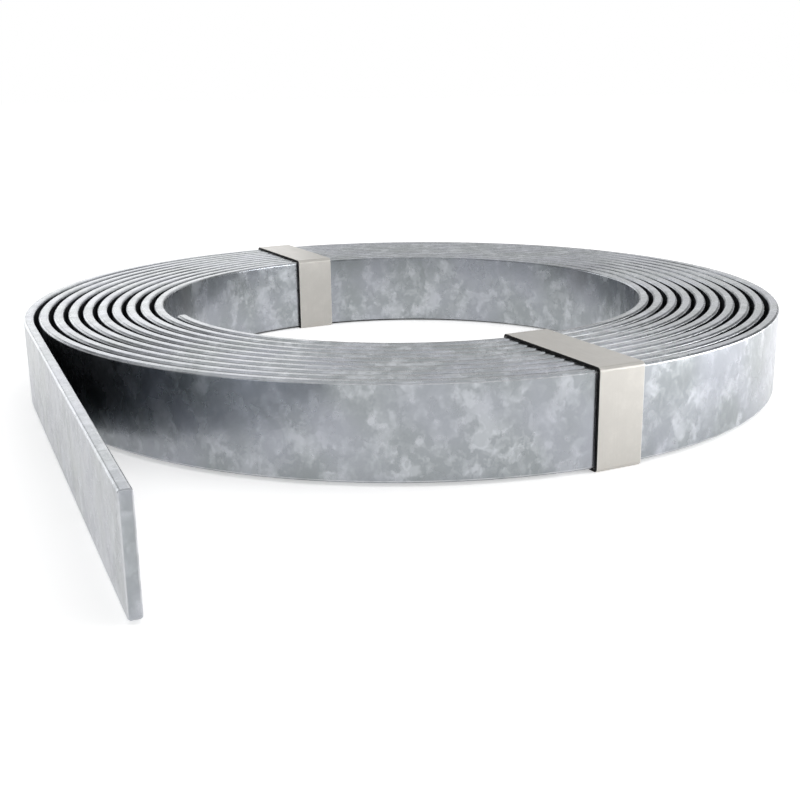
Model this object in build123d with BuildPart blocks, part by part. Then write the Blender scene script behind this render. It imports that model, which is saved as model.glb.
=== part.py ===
from build123d import *
from math import ceil, cos, radians, sin, sqrt
import os

# Coil of galvanised steel flat strip: one length of strip bent round into an open spiral,
# with its outer end left straight, tied by two steel straps. Millimetres, +Z up, origin
# on the coil's axis at floor level.

# Driving dimensions
strip_width = 30.0
strip_thickness = 3.5
strip_edge_chamfer = 0.6

bore_radius = 88.8
turn_gap = 1.7
turns = 9.9915
inner_end_angle = 206.0
tail_length = 182.0

strap_width = 16.0
strap_thickness = 1.0
strap_bend_radius = 0.4
strap_clearance = 0.1
front_strap_angle = -64.0
rear_strap_angle = 117.0

# Worked-out sizes: the coil lies on its straps, so the strip starts one strap thickness up
turn_pitch = strip_thickness + turn_gap
quarter_growth = turn_pitch / 4
winding_sweep = 360 * turns
quarter_count = ceil(winding_sweep / 90)
middle_height = strap_thickness + strip_width / 2


def direction(angle):
    """Unit vector in the floor plane, at an angle in degrees from +X."""
    return Vector(cos(radians(angle)), sin(radians(angle)), 0)


# The spiral is drawn in quarter arcs. The centres step round a small square about the
# axis, and each quarter is larger in radius than the one before, so all arcs are tangent.
def quarter_centre(quarter):
    """Centre of one quarter arc, counted from the inner end."""
    corner = direction(inner_end_angle + 90) + direction(inner_end_angle + 180)
    centre = corner * (quarter_growth / 2)
    for step in range(1, quarter + 1):
        centre = centre - direction(inner_end_angle + 90 * step) * quarter_growth
    return centre


def quarter_radius(quarter):
    """Radius of the strip's inner face along one quarter arc."""
    return bore_radius + quarter_growth / 2 + quarter_growth * quarter


def wall_distance(sweep):
    """Distance from the axis to the strip's inner face, at an angle past the inner end."""
    quarter = min(int(sweep // 90), quarter_count - 1)
    ray = direction(inner_end_angle + sweep)
    along = quarter_centre(quarter).dot(ray)
    aside = quarter_centre(quarter).cross(ray).length
    return along + sqrt(quarter_radius(quarter) ** 2 - aside**2)


def strip_section(quarter, sweep):
    """Section of the strip, drawn across it: local X points away from the axis."""
    outward = direction(inner_end_angle + sweep)
    along = direction(inner_end_angle + sweep + 90)
    reach = quarter_radius(quarter) + strip_thickness / 2
    middle = quarter_centre(quarter) + outward * reach + Vector(0, 0, middle_height)
    with BuildSketch(Plane(origin=middle, x_dir=outward, z_dir=along)) as section:
        Rectangle(strip_thickness, strip_width)
        outer_corners = section.vertices().group_by(Axis.X)[-1]
        chamfer(outer_corners, strip_edge_chamfer)
    return section.sketch


# Flat strip: its section is turned quarter by quarter and then runs out straight
with BuildPart() as flat_strip:
    quarters = []
    for quarter in range(quarter_count):
        quarters += revolve(
            strip_section(quarter, 90 * quarter),
            axis=Axis(quarter_centre(quarter), (0, 0, 1)),
            revolution_arc=min(90, winding_sweep - 90 * quarter),
            mode=Mode.PRIVATE,
        )
    add(quarters)
    extrude(strip_section(quarter_count - 1, winding_sweep), amount=tail_length)


def strap_loop(angle):
    """Closed loop of strap round all the turns, in the upright plane at an angle.

    Its flat legs span the curved walls. The inner leg stands off by the bend's radius as
    well, because the strip's inner corners are square.
    """
    first_pass = (angle - inner_end_angle) % 360
    last_pass = first_pass + 360 * ((winding_sweep - first_pass) // 360)
    inner_wall = sqrt(wall_distance(first_pass) ** 2 - (strap_width / 2) ** 2)
    inner_face = inner_wall - strap_clearance - strap_bend_radius
    outer_face = wall_distance(last_pass) + strip_thickness + strap_clearance
    length = outer_face - inner_face
    upright = Plane(origin=(0, 0, 0), x_dir=direction(angle), z_dir=direction(angle - 90))
    with BuildPart() as strap:
        with BuildSketch(upright):
            with Locations(((inner_face + outer_face) / 2, middle_height)):
                RectangleRounded(
                    length + 2 * strap_thickness,
                    strip_width + 2 * strap_thickness,
                    strap_bend_radius + strap_thickness,
                )
                RectangleRounded(length, strip_width, strap_bend_radius, mode=Mode.SUBTRACT)
        extrude(amount=strap_width / 2, both=True)
    return strap.part


# Straps: one at the front and one at the back of the coil
front_strap = strap_loop(front_strap_angle)
rear_strap = strap_loop(rear_strap_angle)

os.makedirs("parts", exist_ok=True)
flat_strip.part.label = "flat_strip"
export_step(flat_strip.part, "parts/flat_strip.step")
front_strap.label = "front_strap"
export_step(front_strap, "parts/front_strap.step")
rear_strap.label = "rear_strap"
export_step(rear_strap, "parts/rear_strap.step")
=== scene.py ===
"""Steel coil: the looks of a ring of galvanised flat strip tied by two steel straps.

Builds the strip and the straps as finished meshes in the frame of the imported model, gives
them their metals, and sets a plain studio round them. All lengths are in metres.
"""

from math import ceil, cos, pi, radians, sin, sqrt

import bpy
from bpy.props import FloatProperty, FloatVectorProperty, IntProperty, PointerProperty
from bpy.types import Operator, Panel, PropertyGroup
from mathutils import Matrix, Vector


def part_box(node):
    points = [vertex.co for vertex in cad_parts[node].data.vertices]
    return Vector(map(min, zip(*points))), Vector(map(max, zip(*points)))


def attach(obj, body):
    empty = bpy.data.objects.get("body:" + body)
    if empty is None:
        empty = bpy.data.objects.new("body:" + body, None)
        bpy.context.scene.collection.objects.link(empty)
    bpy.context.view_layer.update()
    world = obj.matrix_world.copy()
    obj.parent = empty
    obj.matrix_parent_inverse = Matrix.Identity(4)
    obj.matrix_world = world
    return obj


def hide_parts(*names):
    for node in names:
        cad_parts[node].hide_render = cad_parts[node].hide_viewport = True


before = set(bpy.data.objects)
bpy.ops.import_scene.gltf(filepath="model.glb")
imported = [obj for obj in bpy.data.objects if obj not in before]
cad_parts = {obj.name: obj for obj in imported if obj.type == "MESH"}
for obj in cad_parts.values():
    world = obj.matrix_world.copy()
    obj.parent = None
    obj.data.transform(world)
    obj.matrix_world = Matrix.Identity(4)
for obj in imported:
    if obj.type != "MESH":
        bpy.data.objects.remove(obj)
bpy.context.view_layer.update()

bl_info = {
    "name": "Steel Coil",
    "version": (1, 0, 0),
    "blender": (4, 5, 0),
    "location": "3D View > Sidebar > Coil",
    "description": "Builds a coil of galvanised flat strip with its straps and a studio",
    "category": "Add Mesh",
}

STRIP_LOW, STRIP_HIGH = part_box("flat_strip")
STRAP_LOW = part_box("front_strap")[0]
UPWARD = Vector((0, 0, 1))
SENSOR_WIDTH = 36


# Settings

class CoilStripSettings(PropertyGroup):
    """Sizes and colours of the flat strip."""

    thickness: FloatProperty(
        name="Thickness",
        description="Thickness of the strip",
        default=0.0035,
        unit="LENGTH",
    )
    outer_chamfer: FloatProperty(
        name="Outer chamfer",
        description="Chamfer of the edges on the outer face",
        default=0.0006,
        unit="LENGTH",
    )
    inner_rounding: FloatProperty(
        name="Inner rounding",
        description="Rounding radius of the edges on the inner face",
        default=0.0009,
        unit="LENGTH",
    )
    cut_edge: FloatProperty(
        name="Cut edge radius",
        description="Rounding of the edges where the strip is cut off",
        default=0.0002,
        unit="LENGTH",
    )
    bore_radius: FloatProperty(
        name="Bore radius",
        description="Distance from the axis to the inner end's inner face",
        default=0.0888,
        unit="LENGTH",
    )
    turn_gap: FloatProperty(
        name="Gap between turns",
        description="Open space between one turn and the next",
        default=0.0017,
        unit="LENGTH",
    )
    turns: FloatProperty(
        name="Turns",
        description="Number of turns in the coil",
        default=9.9915,
    )
    inner_end_angle: FloatProperty(
        name="Inner end angle",
        description="Where the inner end stands, round from the right",
        default=radians(206),
        subtype="ANGLE",
    )
    tail_length: FloatProperty(
        name="Tail length",
        description="Length of the straight outer end",
        default=0.182,
        unit="LENGTH",
    )
    arc_steps: IntProperty(
        name="Steps in a quarter",
        description="Mesh steps in each quarter of a turn",
        default=36,
    )
    dark_zinc: FloatVectorProperty(
        name="Dark zinc",
        description="Colour of the darker clouds in the zinc",
        default=(0.270, 0.290, 0.300),
        subtype="COLOR",
    )
    pale_zinc: FloatVectorProperty(
        name="Pale zinc",
        description="Colour of the paler clouds in the zinc",
        default=(0.500, 0.520, 0.545),
        subtype="COLOR",
    )
    bloom_zinc: FloatVectorProperty(
        name="Zinc bloom",
        description="Lavender tint that drifts over the zinc",
        default=(0.375, 0.385, 0.440),
        subtype="COLOR",
    )
    # Brighter zinc along the strip's edges: partly real rubbing, partly a painted highlight where
    # the edges catch the light.
    rubbed_and_sheen_zinc: FloatVectorProperty(
        name="Rubbed and sheen zinc",
        description="Colour of the zinc where its edges are rubbed bright",
        default=(0.72, 0.73, 0.75),
        subtype="COLOR",
    )


class CoilStrapSettings(PropertyGroup):
    """Sizes and colours of the two straps."""

    width: FloatProperty(
        name="Width",
        description="Width of a strap",
        default=0.016,
        unit="LENGTH",
    )
    thickness: FloatProperty(
        name="Thickness",
        description="Thickness of a strap",
        default=STRIP_LOW[2] - STRAP_LOW[2],
        unit="LENGTH",
    )
    bend_radius: FloatProperty(
        name="Bend radius",
        description="Inner radius of a strap's bends",
        default=0.0004,
        unit="LENGTH",
    )
    clearance: FloatProperty(
        name="Clearance",
        description="Space between a strap's legs and the strip",
        default=0.0001,
        unit="LENGTH",
    )
    edge_radius: FloatProperty(
        name="Edge radius",
        description="Rounding of a strap's long edges",
        default=0.00015,
        unit="LENGTH",
    )
    front_angle: FloatProperty(
        name="Front strap angle",
        description="Where the front strap stands, round from the right",
        default=radians(-64),
        subtype="ANGLE",
    )
    rear_angle: FloatProperty(
        name="Rear strap angle",
        description="Where the rear strap stands, round from the right",
        default=radians(117),
        subtype="ANGLE",
    )
    face_colour: FloatVectorProperty(
        name="Face colour",
        description="Colour of the straps' broad faces",
        default=(0.535, 0.518, 0.487),
        subtype="COLOR",
    )
    # Painted highlight along the straps' rounded long edges.
    edge_highlight_colour: FloatVectorProperty(
        name="Edge highlight colour",
        description="Colour of the straps along their rubbed long edges",
        default=(0.82, 0.81, 0.78),
        subtype="COLOR",
    )
    # Near-black slit sides: a painted shade for the dark gap between strap and strip.
    side_shade_colour: FloatVectorProperty(
        name="Side shade colour",
        description="Colour of the straps' dark slit sides",
        default=(0.010, 0.010, 0.011),
        subtype="COLOR",
    )


class CoilStageSettings(PropertyGroup):
    """Camera, floor and light."""

    camera_aside: FloatProperty(
        name="Camera aside",
        description="Place of the camera, right of the coil's axis",
        default=-0.00258,
        unit="LENGTH",
    )
    camera_distance: FloatProperty(
        name="Camera distance",
        description="Distance of the camera in front of the coil's axis",
        default=0.44861,
        unit="LENGTH",
    )
    camera_height: FloatProperty(
        name="Camera height",
        description="Height of the camera above the floor",
        default=0.11269,
        unit="LENGTH",
    )
    camera_pitch: FloatProperty(
        name="Camera pitch",
        description="How far the camera looks down",
        default=radians(15.71),
        subtype="ANGLE",
    )
    camera_roll: FloatProperty(
        name="Camera roll",
        description="How far the camera leans to its right",
        default=radians(0.768),
        subtype="ANGLE",
    )
    focal_length: FloatProperty(
        name="Focal length",
        description="Focal length in millimetres, on a sensor 36 mm wide",
        default=51.603,
    )
    floor_size: FloatProperty(
        name="Floor size",
        description="Side of the square floor",
        default=12.0,
        unit="LENGTH",
    )
    floor_glow: FloatProperty(
        name="Floor glow",
        description="White that the floor adds where it is seen as background",
        default=0.43,
    )
    sky_light: FloatProperty(
        name="Sky light",
        description="Strength of the soft light from all round",
        default=0.33,
    )
    backdrop_top: FloatProperty(
        name="Backdrop top",
        description="Height of the white backdrop, as the sine of its angle up",
        default=0.04,
    )


# Mesh tools

def direction(angle):
    """Unit vector in the floor plane, at an angle from the X axis."""
    return Vector((cos(angle), sin(angle), 0))


def chamfer_steps(size, soft, margin, wear_and_sheen_shares):
    """Points over a chamfered corner, from the X face to the Y face.

    Each is how far it lies in along X and along Y, and its share of edge rubbing and painted
    highlight. The chamfer's own two edges are softened, with steps at near and far shares of
    its size. The shares given are those at the edge beside the X face, on the chamfer, and at
    the edge beside the Y face. Each share ends within the margin.
    """
    face, slope, top = wear_and_sheen_shares
    near = 0.15
    far = 0.35
    return (
        (0.0, size + soft + margin, 0.0),
        (0.0, size + soft, face),
        (size * near, size * (1 - near), face),
        (size * far, size * (1 - far), slope),
        (size * (1 - far), size * far, slope),
        (size * (1 - near), size * near, top),
        (size + soft, 0.0, top),
        (size + soft + margin, 0.0, 0.0),
    )


def rounded_steps(radius, margin, wear_and_sheen):
    """Points over a rounded corner, from the X face to the Y face, as for a chamfer.

    The share of rubbing and painted highlight grows from the X face to the end of the rounding.
    """
    facets = 7
    steps = [(0.0, radius + margin, 0.0)]
    for number in range(facets + 1):
        angle = number / facets * pi / 2
        steps.append((radius * (1 - cos(angle)), radius * (1 - sin(angle)), wear_and_sheen * sin(angle)))
    steps.append((radius + margin, 0.0, 0.0))
    return steps


def edged_outline(half_x, half_y, plus_corner, minus_corner):
    """Points round a rectangle, each with its share of edge rubbing and painted highlight.

    The corners at +X follow the first steps given, and those at -X the second.
    """
    outline = []
    for side_x, side_y in ((1, 1), (-1, 1), (-1, -1), (1, -1)):
        corner = [
            (Vector((side_x * (half_x - x), side_y * (half_y - y))), wear_and_sheen)
            for x, y, wear_and_sheen in (plus_corner if side_x > 0 else minus_corner)
        ]
        outline += corner if side_x == side_y else reversed(corner)
    return outline


def sweep(name, stations, outlines, closed=False):
    """Mesh object made by joining outlines that stand at stations along a path.

    A station is the outline's middle, its X direction and its Y direction. The UV map
    holds lengths in metres, along the path and round the outline, and the edge attribute
    holds each point's share of edge rubbing and painted highlight. Faces towards the
    outline's +Y and -Y take the second material, where there is one.
    """
    vertices = []
    wear_and_sheen = []
    for (middle, x_axis, y_axis), outline in zip(stations, outlines):
        vertices += [middle + x_axis * point.x + y_axis * point.y for point, _ in outline]
        wear_and_sheen += [share for _, share in outline]
    points = [point for point, _ in outlines[len(outlines) // 2]]
    count = len(points)
    around = [0.0]
    sideways = []
    for before, after in zip(points, points[1:] + points[:1]):
        around.append(around[-1] + (after - before).length)
        sideways.append(abs(after.x - before.x) > abs(after.y - before.y))
    run = [0.0]
    for before, after in zip(stations, stations[1:] + stations[:1]):
        run.append(run[-1] + (after[0] - before[0]).length)
    faces = []
    uvs = []
    seconds = []
    spans = len(stations) if closed else len(stations) - 1
    for span in range(spans):
        here = span * count
        there = (span + 1) % len(stations) * count
        for number in range(count):
            after = (number + 1) % count
            faces.append((here + number, here + after, there + after, there + number))
            uvs += [
                (run[span], around[number]),
                (run[span], around[number + 1]),
                (run[span + 1], around[number + 1]),
                (run[span + 1], around[number]),
            ]
            seconds.append(sideways[number])
    if not closed:
        last = (len(stations) - 1) * count
        faces.append(tuple(reversed(range(count))))
        uvs += [(point.x, point.y) for point, _ in reversed(outlines[0])]
        faces.append(tuple(range(last, last + count)))
        uvs += [(run[-2] + point.x, point.y) for point, _ in outlines[-1]]
        seconds += [False, False]
    mesh = bpy.data.meshes.new(name)
    mesh.from_pydata(vertices, [], faces)
    layer = mesh.uv_layers.new(name="UVMap")
    layer.data.foreach_set("uv", [value for uv in uvs for value in uv])
    mesh.attributes.new("edge", "FLOAT", "POINT").data.foreach_set("value", wear_and_sheen)
    # On the straps, the second material is the painted shade on their slit sides.
    mesh.polygons.foreach_set("material_index", seconds if closed else [0] * len(faces))
    mesh.shade_smooth()
    piece = bpy.data.objects.new(name, mesh)
    bpy.context.scene.collection.objects.link(piece)
    piece.modifiers.new("Weighted normals", "WEIGHTED_NORMAL")
    return piece


# Spiral: quarter arcs whose centres step round a small square about the axis

class Spiral:
    """Path of the strip's inner face, as the settings give it."""

    def __init__(self, strip):
        self.start = strip.inner_end_angle
        self.growth = (strip.thickness + strip.turn_gap) / 4
        self.bore = strip.bore_radius
        self.sweep = 2 * pi * strip.turns
        self.quarters = ceil(self.sweep / (pi / 2))

    def centre(self, quarter):
        """Centre of one quarter arc, counted from the inner end."""
        corner = direction(self.start + pi / 2) + direction(self.start + pi)
        centre = corner * (self.growth / 2)
        for step in range(1, quarter + 1):
            centre -= direction(self.start + step * pi / 2) * self.growth
        return centre

    def radius(self, quarter):
        """Radius of the strip's inner face along one quarter arc."""
        return self.bore + self.growth / 2 + self.growth * quarter

    def wall(self, turned):
        """Distance from the axis to the strip's inner face, past the inner end."""
        quarter = min(int(turned // (pi / 2)), self.quarters - 1)
        ray = direction(self.start + turned)
        along = self.centre(quarter).dot(ray)
        aside = self.centre(quarter).cross(ray).length
        return along + sqrt(self.radius(quarter) ** 2 - aside**2)


# Material tools

class NodeBuilder:
    """Adds nodes and links to one node tree."""

    column_width = 220

    def __init__(self, tree):
        self.tree = tree
        self.column = 0

    def add(self, kind, options=None, **inputs):
        """Adds a node, sets its options, and feeds its inputs by their names."""
        node = self.tree.nodes.new(kind)
        self.column += 1
        node.location = (self.column_width * self.column, 0)
        for name, value in (options or {}).items():
            setattr(node, name, value)
        for name, value in inputs.items():
            label = name.replace("_", " ")
            self.feed(next(s for s in node.inputs if s.name == label and s.enabled), value)
        return node

    def feed(self, socket, value):
        """Links an output to an input, or sets the input's value."""
        if isinstance(value, bpy.types.NodeSocket):
            self.tree.links.new(value, socket)
        elif socket.type == "RGBA":
            socket.default_value = (*value[:3], 1)
        else:
            socket.default_value = value

    def math(self, operation, *values):
        """Result of a Math node on numbers or outputs."""
        node = self.add("ShaderNodeMath", {"operation": operation})
        for socket, value in zip(node.inputs, values):
            self.feed(socket, value)
        return node.outputs["Value"]

    def vector(self, operation, *values):
        """Result of a Vector Math node on vectors or outputs."""
        node = self.add("ShaderNodeVectorMath", {"operation": operation})
        for socket, value in zip(node.inputs, values):
            self.feed(socket, value)
        return node.outputs["Vector"]

    def spread(self, value, low, high, to_low=0.0, to_high=1.0):
        """Smoothly maps a value from one range to another."""
        node = self.add(
            "ShaderNodeMapRange",
            {"interpolation_type": "SMOOTHSTEP"},
            Value=value,
            From_Min=low,
            From_Max=high,
            To_Min=to_low,
            To_Max=to_high,
        )
        return node.outputs["Result"]

    def noise(self, vector, scale, detail=2.0, roughness=0.5):
        """Noise texture node."""
        return self.add(
            "ShaderNodeTexNoise",
            Vector=vector,
            Scale=scale,
            Detail=detail,
            Roughness=roughness,
        )

    def blend(self, factor, first, second):
        """Mixes two colours by a factor."""
        node = self.add("ShaderNodeMix", {"data_type": "RGBA"})
        inputs = [socket for socket in node.inputs if socket.enabled]
        for socket, value in zip(inputs, (factor, first, second)):
            self.feed(socket, value)
        return next(socket for socket in node.outputs if socket.enabled)


def new_material(name):
    """Empty node material with a Principled shader, and its builder."""
    material = bpy.data.materials.new(name)
    material.use_nodes = True
    material.node_tree.nodes.clear()
    build = NodeBuilder(material.node_tree)
    shader = build.add("ShaderNodeBsdfPrincipled")
    build.add("ShaderNodeOutputMaterial", Surface=shader.outputs["BSDF"])
    return material, build, shader


def new_group(name, inputs, outputs):
    """Empty node group with its sockets, its builder, and its two ends."""
    tree = bpy.data.node_groups.new(name, "ShaderNodeTree")
    for label, kind, default in inputs:
        socket = tree.interface.new_socket(label, in_out="INPUT", socket_type=kind)
        if default is not None:
            socket.default_value = default
    for label in outputs:
        tree.interface.new_socket(label, in_out="OUTPUT", socket_type="NodeSocketFloat")
    build = NodeBuilder(tree)
    given = build.add("NodeGroupInput")
    result = build.add("NodeGroupOutput")
    return tree, build, given, result


def clouds_group():
    """Node group for cloudy metal: feathery patches, soft clouds and a fine grain."""
    known = bpy.data.node_groups.get("Metal Clouds")
    if known:
        return known
    tree, build, given, result = new_group(
        "Metal Clouds",
        (
            ("Vector", "NodeSocketVector", None),
            ("Patch Size", "NodeSocketFloat", 0.005),
            ("Cloud Size", "NodeSocketFloat", 0.016),
            ("Grain Size", "NodeSocketFloat", 0.0006),
            ("Feather", "NodeSocketFloat", 0.6),
        ),
        ("Patches", "Clouds", "Grain"),
    )
    flake_ratio = 2.3
    full_swirl = 4.0
    patch_share = 0.6
    flake_share = 0.4
    place = given.outputs["Vector"]
    patch_scale = build.math("DIVIDE", 1.0, given.outputs["Patch Size"])
    flake_scale = build.math("MULTIPLY", patch_scale, flake_ratio)
    cloud_scale = build.math("DIVIDE", 1.0, given.outputs["Cloud Size"])
    grain_scale = build.math("DIVIDE", 1.0, given.outputs["Grain Size"])
    reach = build.math("MULTIPLY", given.outputs["Patch Size"], given.outputs["Feather"])
    reach = build.math("MULTIPLY", reach, full_swirl)
    swirl = build.noise(place, patch_scale, detail=3.0, roughness=0.6)
    swirl = build.vector("SUBTRACT", swirl.outputs["Color"], (0.5, 0.5, 0.5))
    scale = build.add("ShaderNodeVectorMath", {"operation": "SCALE"}, Scale=reach)
    build.feed(scale.inputs["Vector"], swirl)
    warped = build.vector("ADD", place, scale.outputs["Vector"])
    broad = build.add(
        "ShaderNodeTexVoronoi",
        {"feature": "SMOOTH_F1"},
        Vector=warped,
        Scale=patch_scale,
        Smoothness=1.0,
    )
    small = build.add(
        "ShaderNodeTexVoronoi",
        {"feature": "SMOOTH_F1"},
        Vector=warped,
        Scale=flake_scale,
        Smoothness=1.0,
    )
    broad_tone = build.add("ShaderNodeSeparateColor", Color=broad.outputs["Color"])
    small_tone = build.add("ShaderNodeSeparateColor", Color=small.outputs["Color"])
    clouds = build.noise(place, cloud_scale, detail=3.0, roughness=0.6)
    gathered = build.spread(clouds.outputs["Fac"], 0.34, 0.60, 0.35, 1.0)
    pale = build.spread(broad_tone.outputs["Red"], 0.28, 0.72)
    flakes = build.spread(small_tone.outputs["Green"], 0.30, 0.72)
    patches = build.math("MULTIPLY", pale, patch_share)
    patches = build.math("MULTIPLY_ADD", flakes, flake_share, patches)
    patches = build.math("MULTIPLY", patches, gathered)
    grain = build.noise(place, grain_scale)
    build.feed(result.inputs["Patches"], patches)
    build.feed(result.inputs["Clouds"], clouds.outputs["Fac"])
    build.feed(result.inputs["Grain"], grain.outputs["Fac"])
    return tree


def wear_and_sheen_group():
    """Node group for edges made bright, partly by real rubbing and partly as a painted highlight:
    the edge's own mask, broken up by noise.
    """
    known = bpy.data.node_groups.get("Rubbed Edges and Painted Sheen")
    if known:
        return known
    tree, build, given, result = new_group(
        "Rubbed Edges and Painted Sheen",
        (
            ("Vector", "NodeSocketVector", None),
            ("Edge", "NodeSocketFloat", 0.0),
            ("Break Size", "NodeSocketFloat", 0.004),
            ("Amount", "NodeSocketFloat", 0.8),
        ),
        ("Wear and Sheen",),
    )
    break_scale = build.math("DIVIDE", 1.0, given.outputs["Break Size"])
    breaks = build.noise(given.outputs["Vector"], break_scale, detail=3.0)
    patchy = build.spread(breaks.outputs["Fac"], 0.25, 0.6, 0.35, 1.0)
    sharp = build.spread(given.outputs["Edge"], 0.35, 1.0)
    wear_and_sheen = build.math("MULTIPLY", sharp, patchy)
    build.feed(result.inputs["Wear and Sheen"], build.math("MULTIPLY", wear_and_sheen, given.outputs["Amount"]))
    return tree


def place_group(build, group, **inputs):
    """Puts a node group in a material, with its own values."""
    node = build.add("ShaderNodeGroup")
    node.node_tree = group
    for name, value in inputs.items():
        build.feed(node.inputs[name.replace("_", " ")], value)
    return node


def zinc_material(strip):
    """Hot-dip zinc: grey with pale feathery patches, a slow lavender drift and fine grain.

    The shares say how much each layer counts in the mix of dark and pale zinc.
    """
    patch_share = 0.6
    cloud_share = 0.6
    smear_share = 0.3
    grain_share = 0.04
    broad_share = 0.4
    upright_stretch = (1.0, 1.0, 0.85)
    streak_stretch = (1.0, 1.0, 0.16)
    streak_scale = 420.0
    drift_scale = 45.0
    broad_scale = 22.0
    # The broad tone is a random drift, but its offset puts darker tone on the front centre and
    # paler tone on the front left: painted shade and painted light.
    broad_light_and_shade_offset = (-0.04, 0.03, 0.11)
    worn_dullness = 0.35
    material, build, shader = new_material("Galvanised zinc")
    place = build.add("ShaderNodeTexCoord").outputs["Object"]
    upright = build.vector("MULTIPLY", place, upright_stretch)
    streaky = build.vector("MULTIPLY", place, streak_stretch)
    edge = build.add("ShaderNodeAttribute", {"attribute_name": "edge"}).outputs["Fac"]
    clouds = place_group(
        build,
        clouds_group(),
        Vector=upright,
        Patch_Size=0.0041,
        Cloud_Size=0.009,
        Grain_Size=0.0007,
        Feather=0.45,
    )
    streaks = build.noise(streaky, streak_scale, detail=3.0)
    smears = build.math("MULTIPLY", streaks.outputs["Fac"], clouds.outputs["Patches"])
    shifted = build.vector("ADD", upright, broad_light_and_shade_offset)
    broad = build.noise(shifted, broad_scale, detail=1.0)
    tone = build.math("MULTIPLY", clouds.outputs["Patches"], patch_share)
    tone = build.math("MULTIPLY_ADD", clouds.outputs["Clouds"], cloud_share, tone)
    tone = build.math("MULTIPLY_ADD", smears, smear_share, tone)
    tone = build.math("MULTIPLY_ADD", clouds.outputs["Grain"], grain_share, tone)
    tone = build.math("MULTIPLY_ADD", broad.outputs["Fac"], broad_share, tone)
    tone = build.spread(tone, 0.30, 1.50)
    zinc = build.blend(tone, strip.dark_zinc, strip.pale_zinc)
    drift = build.noise(upright, drift_scale, detail=1.0)
    bloom = build.spread(drift.outputs["Fac"], 0.35, 0.70, 0.0, 0.5)
    zinc = build.blend(bloom, zinc, strip.bloom_zinc)
    # Edges blended towards the rubbed zinc: partly real rubbing, partly a painted highlight.
    wear_and_sheen = place_group(build, wear_and_sheen_group(), Vector=place, Edge=edge, Amount=0.7)
    zinc = build.blend(wear_and_sheen.outputs["Wear and Sheen"], zinc, strip.rubbed_and_sheen_zinc)
    build.feed(shader.inputs["Base Color"], zinc)
    shader.inputs["Metallic"].default_value = 1.0
    dullness = build.spread(clouds.outputs["Clouds"], 0.3, 0.7, 0.22, 0.31)
    dullness = build.math("MULTIPLY_ADD", wear_and_sheen.outputs["Wear and Sheen"], worn_dullness, dullness)
    build.feed(shader.inputs["Roughness"], dullness)
    bump = build.add(
        "ShaderNodeBump",
        Strength=0.03,
        Distance=0.0002,
        Height=clouds.outputs["Grain"],
    )
    build.feed(shader.inputs["Normal"], bump.outputs["Normal"])
    return material


def strap_material(strap):
    """Bright steel strapping: satin, drawn lengthwise, with a painted highlight along its long
    edges.
    """
    line_share = 0.4
    cloud_share = 0.4
    patch_share = 0.15
    line_stretch = (0.02, 1.0, 1.0)
    line_scale = 1500.0
    material, build, shader = new_material("Steel strapping")
    along = build.add("ShaderNodeUVMap").outputs["UV"]
    drawn = build.vector("MULTIPLY", along, line_stretch)
    edge = build.add("ShaderNodeAttribute", {"attribute_name": "edge"}).outputs["Fac"]
    place = build.add("ShaderNodeTexCoord").outputs["Object"]
    clouds = place_group(
        build,
        clouds_group(),
        Vector=place,
        Patch_Size=0.0024,
        Cloud_Size=0.006,
        Grain_Size=0.0004,
    )
    lines = build.noise(drawn, line_scale, detail=3.0)
    tone = build.math("MULTIPLY", lines.outputs["Fac"], line_share)
    tone = build.math("MULTIPLY_ADD", clouds.outputs["Clouds"], cloud_share, tone)
    tone = build.math("MULTIPLY_ADD", clouds.outputs["Patches"], patch_share, tone)
    shade = build.spread(tone, 0.30, 0.75, 0.90, 1.0)
    steel = build.blend(shade, (0.0, 0.0, 0.0), strap.face_colour)
    # Painted highlight along the long edges, from the edge mask.
    wear_and_sheen = place_group(build, wear_and_sheen_group(), Vector=place, Edge=edge, Amount=0.9)
    steel = build.blend(wear_and_sheen.outputs["Wear and Sheen"], steel, strap.edge_highlight_colour)
    build.feed(shader.inputs["Base Color"], steel)
    shader.inputs["Metallic"].default_value = 0.8
    dullness = build.spread(lines.outputs["Fac"], 0.3, 0.7, 0.34, 0.44)
    build.feed(shader.inputs["Roughness"], dullness)
    bump = build.add(
        "ShaderNodeBump",
        Strength=0.15,
        Distance=0.0001,
        Height=lines.outputs["Fac"],
    )
    build.feed(shader.inputs["Normal"], bump.outputs["Normal"])
    return material


def slit_shade_material(strap):
    """Slit sides of the straps painted near black as a painted shade of the gap beside each
    strap, with a little scale.
    """
    spot_scale = 900.0
    material, build, shader = new_material("Painted shade on slit side")
    along = build.add("ShaderNodeUVMap").outputs["UV"]
    spots = build.noise(along, spot_scale, detail=3.0)
    shade = build.spread(spots.outputs["Fac"], 0.3, 0.7, 0.5, 1.0)
    dark = build.blend(shade, (0.0, 0.0, 0.0), strap.side_shade_colour)
    build.feed(shader.inputs["Base Color"], dark)
    shader.inputs["Specular IOR Level"].default_value = 0.2
    dullness = build.spread(spots.outputs["Fac"], 0.3, 0.7, 0.55, 0.75)
    build.feed(shader.inputs["Roughness"], dullness)
    return material


# Pieces

def finish_piece(piece, materials, node):
    """Gives a piece its metals and its place in the frame."""
    for material in materials:
        piece.data.materials.append(material)
    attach(piece, "root")
    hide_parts(node)


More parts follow.
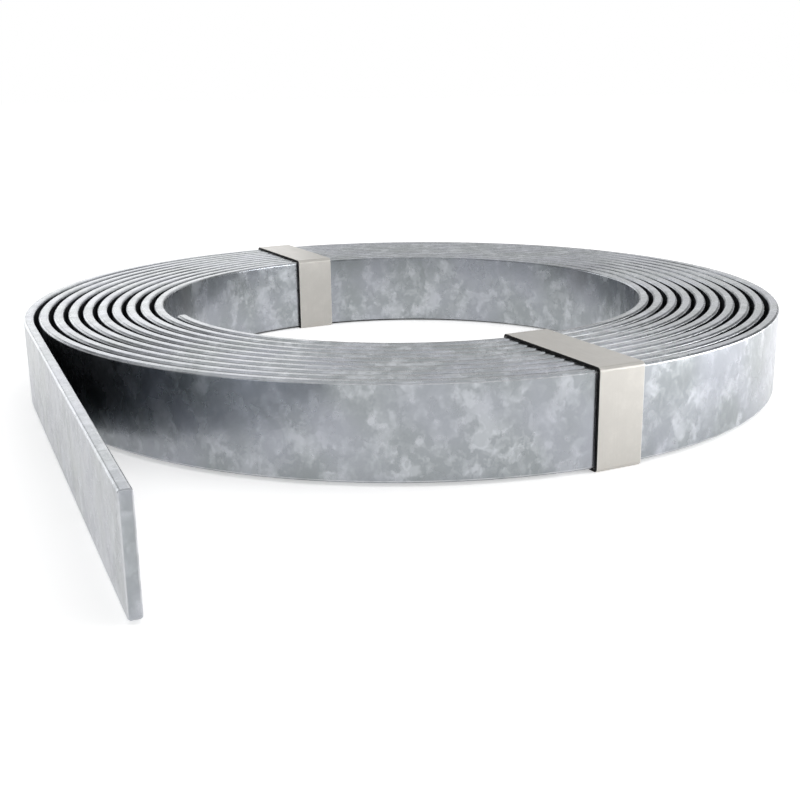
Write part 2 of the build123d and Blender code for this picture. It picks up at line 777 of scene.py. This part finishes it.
class COIL_OT_flat_strip(Operator):
    """Build the flat strip: all the turns, the inner end and the straight tail"""

    bl_idname = "coil.flat_strip"
    bl_label = "Flat Strip"

    def execute(self, context):
        strip = context.scene.coil_strip
        spiral = Spiral(strip)
        half_thickness = strip.thickness / 2
        half_width = (STRIP_HIGH[2] - STRIP_LOW[2]) / 2
        middle_height = (STRIP_LOW[2] + STRIP_HIGH[2]) / 2
        cut = strip.cut_edge
        soft = 0.00008
        margin = 0.0003
        finest = 0.00005
        # Shares of rubbed zinc at the edges and cut ends: partly real rubbing, partly painted
        # highlight lines.
        chamfer_wear_and_sheen = (1.0, 0.25, 0.3)
        rounding_wear_and_sheen = 0.7
        cut_broad_wear_and_sheen = 1.0
        cut_narrow_wear_and_sheen = 0.7
        cut_end_wear_and_sheen = 0.45
        cut_steps = 3
        tail_steps = 12
        last = spiral.quarters - 1

        def station(quarter, turned, ahead=0.0):
            """Middle of the strip and its two directions, turned so far past its start."""
            outward = direction(spiral.start + turned)
            along = direction(spiral.start + turned + pi / 2)
            reach = spiral.radius(quarter) + half_thickness
            middle = spiral.centre(quarter) + outward * reach + along * ahead
            return middle + UPWARD * middle_height, outward, UPWARD

        def outline(inset=0.0):
            """Section of the strip, drawn in all round by an inset."""
            chamfer = max(strip.outer_chamfer - inset, finest)
            rounding = max(strip.inner_rounding - inset, finest)
            return edged_outline(
                half_thickness - inset,
                half_width - inset,
                chamfer_steps(chamfer, soft, margin, chamfer_wear_and_sheen),
                rounded_steps(rounding, margin, rounding_wear_and_sheen),
            )

        def cut_outline(inset, broad_wear_and_sheen, narrow_wear_and_sheen):
            """Section beside a cut, with one share of rubbing and painted highlight on the broad
            faces and one on the rest.
            """
            broad = half_thickness - inset - finest
            return [
                (point, broad_wear_and_sheen if abs(point.x) > broad else narrow_wear_and_sheen)
                for point, _ in outline(inset)
            ]

        end_rings = [(0.0, cut_outline(cut + margin, cut_end_wear_and_sheen, cut_end_wear_and_sheen))]
        for step in range(cut_steps + 1):
            angle = step / cut_steps * pi / 2
            inset = cut * (1 - sin(angle))
            ring = cut_outline(inset, cut_broad_wear_and_sheen, cut_narrow_wear_and_sheen)
            end_rings.append((cut * (1 - cos(angle)), ring))
        end_rings.append((cut + margin, outline()))
        stations = [station(0, 0, ahead) for ahead, _ in end_rings]
        outlines = [ring for _, ring in end_rings]
        for quarter in range(spiral.quarters):
            start = quarter * pi / 2
            end = min(start + pi / 2, spiral.sweep)
            for step in range(strip.arc_steps):
                turned = start + (end - start) * step / strip.arc_steps
                if turned > 0:
                    stations.append(station(quarter, turned))
                    outlines.append(outline())
        for step in range(tail_steps):
            ahead = (strip.tail_length - cut - margin) * step / tail_steps
            stations.append(station(last, spiral.sweep, ahead))
            outlines.append(outline())
        for back, ring in reversed(end_rings):
            stations.append(station(last, spiral.sweep, strip.tail_length - back))
            outlines.append(ring)
        piece = sweep("flat_strip_zinc", stations, outlines)
        finish_piece(piece, [zinc_material(strip)], "flat_strip")
        return {"FINISHED"}


class COIL_OT_straps(Operator):
    """Build the two straps that tie the turns"""

    bl_idname = "coil.straps"
    bl_label = "Straps"

    def execute(self, context):
        strip = context.scene.coil_strip
        strap = context.scene.coil_strap
        # The second metal is the painted shade on the slit sides.
        metals = [strap_material(strap), slit_shade_material(strap)]
        for name, angle in (("front_strap", strap.front_angle), ("rear_strap", strap.rear_angle)):
            piece = self.loop(name + "_steel", angle, strip, strap)
            finish_piece(piece, metals, name)
        return {"FINISHED"}

    def loop(self, name, angle, strip, strap):
        """Closed loop of strap round all the turns, in the upright plane at an angle."""
        spiral = Spiral(strip)
        first_pass = (angle - spiral.start) % (2 * pi)
        last_pass = first_pass + 2 * pi * ((spiral.sweep - first_pass) // (2 * pi))
        inner_wall = sqrt(spiral.wall(first_pass) ** 2 - (strap.width / 2) ** 2)
        inner_face = inner_wall - strap.clearance - strap.bend_radius
        outer_face = spiral.wall(last_pass) + strip.thickness + strap.clearance
        half_length = (outer_face - inner_face + strap.thickness) / 2
        half_height = (STRIP_HIGH[2] - STRIP_LOW[2] + strap.thickness) / 2
        bend = strap.bend_radius + strap.thickness / 2
        outward = direction(angle)
        aside = direction(angle - pi / 2)
        middle = outward * ((inner_face + outer_face) / 2)
        middle += UPWARD * (STRIP_LOW[2] + STRIP_HIGH[2]) / 2
        soft = 0.00005
        margin = 0.0001
        # Shares of painted highlight over the strap's edge corners.
        edge_highlight_shares = (1.0, 0.5, 0.0)
        bend_steps = 8
        stations = []
        for quarter, (side_x, side_y) in enumerate(((1, 1), (-1, 1), (-1, -1), (1, -1))):
            corner = middle + outward * side_x * (half_length - bend)
            corner += UPWARD * side_y * (half_height - bend)
            for step in range(bend_steps + 1):
                turned = (quarter + step / bend_steps) * pi / 2
                normal = outward * cos(turned) + UPWARD * sin(turned)
                stations.append((corner + normal * bend, normal, aside))
        edge = chamfer_steps(strap.edge_radius, soft, margin, edge_highlight_shares)
        section = edged_outline(strap.thickness / 2, strap.width / 2, edge, edge)
        return sweep(name, stations, [section] * len(stations), closed=True)


# Stage

def lamp(name, place, size, power):
    """Soft lamp that looks at the coil."""
    data = bpy.data.lights.new(name, "AREA")
    data.shape = "RECTANGLE"
    data.size, data.size_y = size
    data.energy = power
    thing = bpy.data.objects.new(name, data)
    thing.location = place
    thing.rotation_euler = (-Vector(place)).to_track_quat("-Z", "Y").to_euler()
    bpy.context.scene.collection.objects.link(thing)


def background_rays(build):
    """One for rays that show the background: from the camera, mirrored or refracted."""
    path = build.add("ShaderNodeLightPath").outputs
    seen = build.math("MAXIMUM", path["Is Camera Ray"], path["Is Glossy Ray"])
    return build.math("MAXIMUM", seen, path["Is Transmission Ray"])


def make_floor(stage, strip):
    """White floor that shows as background and keeps the coil's shadow.

    Its glow stays off under the turns, a painted shade that keeps the gaps between them
    dark, and it is stronger inside the ring, a painted light where less light comes in. Away
    from the coil it grows until the floor is as white as the backdrop.
    """
    half = stage.floor_size / 2
    pitch = strip.thickness + strip.turn_gap
    painted_shade_from = strip.bore_radius + pitch
    painted_shade_to = strip.bore_radius + pitch * (strip.turns - 1)
    fade = 0.002
    bore_painted_light = 1.2
    near_end = 0.25
    far_start = 1.5
    white = 0.9
    full_white = 1.02
    far_glow = full_white - white * stage.sky_light
    mesh = bpy.data.meshes.new("floor")
    corners = ((-half, -half, 0), (half, -half, 0), (half, half, 0), (-half, half, 0))
    mesh.from_pydata(corners, [], [(0, 1, 2, 3)])
    floor = bpy.data.objects.new("floor", mesh)
    bpy.context.scene.collection.objects.link(floor)
    material, build, shader = new_material("White floor")
    shader.inputs["Base Color"].default_value = (white, white, white, 1)
    shader.inputs["Roughness"].default_value = 0.9
    shader.inputs["Specular IOR Level"].default_value = 0
    shader.inputs["Emission Color"].default_value = (1, 1, 1, 1)
    place = build.add("ShaderNodeTexCoord").outputs["Object"]
    away = build.add("ShaderNodeVectorMath", {"operation": "LENGTH"}, Vector=place)
    # Painted light: stronger glow inside the bore. Painted shade: no glow under the turns.
    inside = build.spread(away.outputs["Value"], painted_shade_from, painted_shade_from + fade, bore_painted_light, 0.0)
    outside = build.spread(away.outputs["Value"], painted_shade_to - fade, painted_shade_to)
    glow = build.spread(away.outputs["Value"], near_end, far_start, stage.floor_glow, far_glow)
    glow = build.math("MULTIPLY", glow, build.math("ADD", inside, outside))
    glow = build.math("MULTIPLY", glow, background_rays(build))
    build.feed(shader.inputs["Emission Strength"], glow)
    mesh.materials.append(material)


def make_world(stage):
    """Soft light from all round: a white backdrop low down, under a dimmer ceiling."""
    world = bpy.data.worlds.new("Studio")
    bpy.context.scene.world = world
    world.use_nodes = True
    world.node_tree.nodes.clear()
    build = NodeBuilder(world.node_tree)
    view = build.add("ShaderNodeTexCoord").outputs["Generated"]
    height = build.add("ShaderNodeSeparateXYZ", Vector=view).outputs["Z"]
    low = build.spread(height, stage.backdrop_top, stage.backdrop_top * 2, 1.0, 0.0)
    backdrop = build.math("MULTIPLY", background_rays(build), low)
    camera = build.add("ShaderNodeLightPath").outputs["Is Camera Ray"]
    shown = build.math("MAXIMUM", camera, backdrop)
    strength = build.spread(shown, 0, 1, stage.sky_light, 1.0)
    light = build.add("ShaderNodeBackground", Color=(1, 1, 1), Strength=strength)
    build.add("ShaderNodeOutputWorld", Surface=light.outputs["Background"])


def make_camera(stage):
    """Camera at the photograph's place, from its pitch and roll."""
    data = bpy.data.cameras.new("Camera")
    data.sensor_width = SENSOR_WIDTH
    data.lens = stage.focal_length
    data.clip_start = 0.01
    camera = bpy.data.objects.new("Camera", data)
    bpy.context.scene.collection.objects.link(camera)
    forward = Vector((0, cos(stage.camera_pitch), -sin(stage.camera_pitch)))
    level_right = Vector((1, 0, 0))
    level_up = level_right.cross(forward)
    roll = -stage.camera_roll
    right = level_right * cos(roll) + level_up * sin(roll)
    up = level_up * cos(roll) - level_right * sin(roll)
    turn = Matrix((right, up, -forward)).transposed().to_4x4()
    place = Vector((stage.camera_aside, -stage.camera_distance, stage.camera_height))
    camera.matrix_world = Matrix.Translation(place) @ turn
    bpy.context.scene.camera = camera


class COIL_OT_stage(Operator):
    """Set the floor, the light and the camera"""

    bl_idname = "coil.stage"
    bl_label = "Stage"

    def execute(self, context):
        stage = context.scene.coil_stage
        context.scene.view_settings.view_transform = "Standard"
        make_floor(stage, context.scene.coil_strip)
        make_world(stage)
        lamp("Right lamp", place=(0.42, -0.10, 0.08), size=(0.34, 0.16), power=1.25)
        lamp("Left lamp", place=(-0.62, 0.50, 0.14), size=(0.45, 0.26), power=0.62)
        lamp("Left rear lamp", place=(-0.30, 0.85, 0.16), size=(0.40, 0.30), power=0.50)
        lamp("Right rear lamp", place=(0.36, 0.83, 0.16), size=(0.26, 0.26), power=0.12)
        lamp("Rear lamp", place=(0.0, 1.0, 0.55), size=(1.2, 0.4), power=1.5)
        lamp("Top lamp", place=(0.0, 0.0, 1.0), size=(2.4, 1.3), power=8.0)
        lamp("Front lamp", place=(-0.14, -1.1, 0.34), size=(1.2, 0.4), power=1.4)
        make_camera(stage)
        return {"FINISHED"}


class COIL_PT_sidebar(Panel):
    """Lists the coil's pieces, its stage and their settings"""

    bl_label = "Steel Coil"
    bl_idname = "COIL_PT_sidebar"
    bl_space_type = "VIEW_3D"
    bl_region_type = "UI"
    bl_category = "Coil"

    def draw(self, context):
        for operator, settings in (
            (COIL_OT_flat_strip, context.scene.coil_strip),
            (COIL_OT_straps, context.scene.coil_strap),
            (COIL_OT_stage, context.scene.coil_stage),
        ):
            box = self.layout.box()
            box.operator(operator.bl_idname)
            for name in settings.__annotations__:
                box.prop(settings, name)


CLASSES = (
    CoilStripSettings,
    CoilStrapSettings,
    CoilStageSettings,
    COIL_OT_flat_strip,
    COIL_OT_straps,
    COIL_OT_stage,
    COIL_PT_sidebar,
)


def register():
    """Registers the classes and gives the scene its settings."""
    for item in CLASSES:
        bpy.utils.register_class(item)
    bpy.types.Scene.coil_strip = PointerProperty(type=CoilStripSettings)
    bpy.types.Scene.coil_strap = PointerProperty(type=CoilStrapSettings)
    bpy.types.Scene.coil_stage = PointerProperty(type=CoilStageSettings)


def unregister():
    """Takes the settings and the classes away again."""
    del bpy.types.Scene.coil_stage
    del bpy.types.Scene.coil_strap
    del bpy.types.Scene.coil_strip
    for item in reversed(CLASSES):
        bpy.utils.unregister_class(item)


def main():
    """Builds every piece and the stage."""
    register()
    bpy.ops.coil.flat_strip()
    bpy.ops.coil.straps()
    bpy.ops.coil.stage()


if __name__ == "__main__":
    main()
